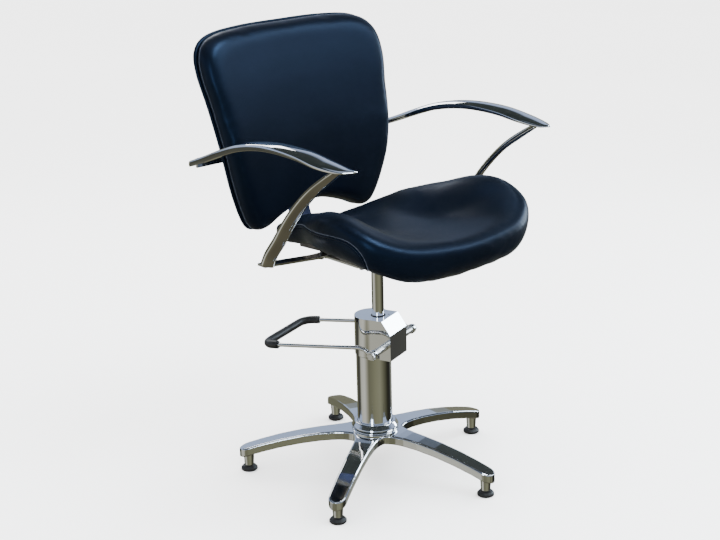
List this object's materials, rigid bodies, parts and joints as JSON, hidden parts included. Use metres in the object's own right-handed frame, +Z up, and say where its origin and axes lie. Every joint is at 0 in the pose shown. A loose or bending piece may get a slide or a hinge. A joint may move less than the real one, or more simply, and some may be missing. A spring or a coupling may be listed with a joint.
{
  "type": "styling chair",
  "caption": "Salon styling chair with a dished vinyl seat, curved back, chrome arms and a foot-pumped hydraulic column on a star base.",
  "frame": {"origin": "on the floor under the middle of the chair's box; the swivel axis is 8 mm behind it, towards the front (-Y)", "axes": "+Z up, -Y the way the sitter faces, +X the sitter's left"},
  "size_m": [0.6446, 0.6635, 1.028],
  "materials": {
    "polished_alloy": "polished",
    "chrome": "mirror polish",
    "bright_steel": "zinc plated",
    "cast_iron": "as cast",
    "bronze": "turned",
    "blued_steel": "satin paint",
    "black_screw": "black oxide",
    "rubber": "matt",
    "vinyl": "soft sheen upholstery vinyl",
    "plywood": "raw"
  },
  "bodies": {
    "base": {"star_base": "polished_alloy", "glide_1": "rubber", "glide_2": "rubber", "glide_3": "rubber", "glide_4": "rubber", "glide_5": "rubber", "pump_cylinder": "chrome", "oil_barrel": "bright_steel", "base_washer": "bright_steel", "base_bolt": "bright_steel", "valve_block": "cast_iron", "head_cover": "chrome", "guide_bush": "bronze", "rod_wiper": "rubber"},
    "pedal": {"pedal_bar": "chrome", "pedal_sleeve": "rubber", "pivot_shaft": "bright_steel", "rocker": "bright_steel", "pivot_spacer_left": "bright_steel", "pivot_spacer_right": "bright_steel", "pivot_nut_left": "bright_steel", "pivot_nut_right": "bright_steel"},
    "plunger": {"plunger": "bright_steel", "plunger_spring": "bright_steel"},
    "lift": {"piston": "bright_steel", "piston_seal": "rubber"},
    "seat": {"piston_rod": "chrome", "rod_clip": "bright_steel", "seat_plate": "bright_steel", "rod_socket": "bright_steel", "socket_screw": "black_screw", "seat_bolt_1": "black_screw", "seat_bolt_2": "black_screw", "seat_bolt_3": "black_screw", "seat_bolt_4": "black_screw", "seat_board": "plywood", "seat_cushion": "vinyl", "back_panel": "vinyl", "back_board": "plywood", "back_cushion": "vinyl", "back_bracket": "blued_steel", "bracket_bolt_1": "black_screw", "bracket_bolt_2": "black_screw", "back_bolt_1": "black_screw", "back_bolt_2": "black_screw", "back_bolt_3": "black_screw", "back_bolt_4": "black_screw", "arm_left": "chrome", "arm_right": "chrome", "arm_bolt_left": "black_screw", "arm_bolt_right": "black_screw"}
  },
  "joints": [
    {"name": "seat_height", "type": "slide", "parent": "base", "child": "lift", "axis": [0, 0, 1], "range_m": [-0.105, 0.03]},
    {"name": "seat_swivel", "type": "hinge", "parent": "lift", "child": "seat", "pos_m": [0, -0.008, 0.45], "axis": [0, 0, 1], "continuous": true},
    {"name": "pedal_press", "type": "hinge", "parent": "base", "child": "pedal", "pos_m": [0.01231, -0.04183, 0.32], "axis": [-0.9397, -0.342, 0], "range_deg": [0, 28], "stiffness_Nm_per_rad": 6, "springref_deg": -20.05},
    {"name": "plunger_stroke", "type": "slide", "parent": "base", "child": "plunger", "axis": [0, 0, -1], "range_m": [0, 0.0066], "deforming": ["plunger_spring"]}
  ],
  "couplings": [
    {"joint": "plunger_stroke", "follows": "pedal_press", "m_per_rad": 0.012727}
  ]
}
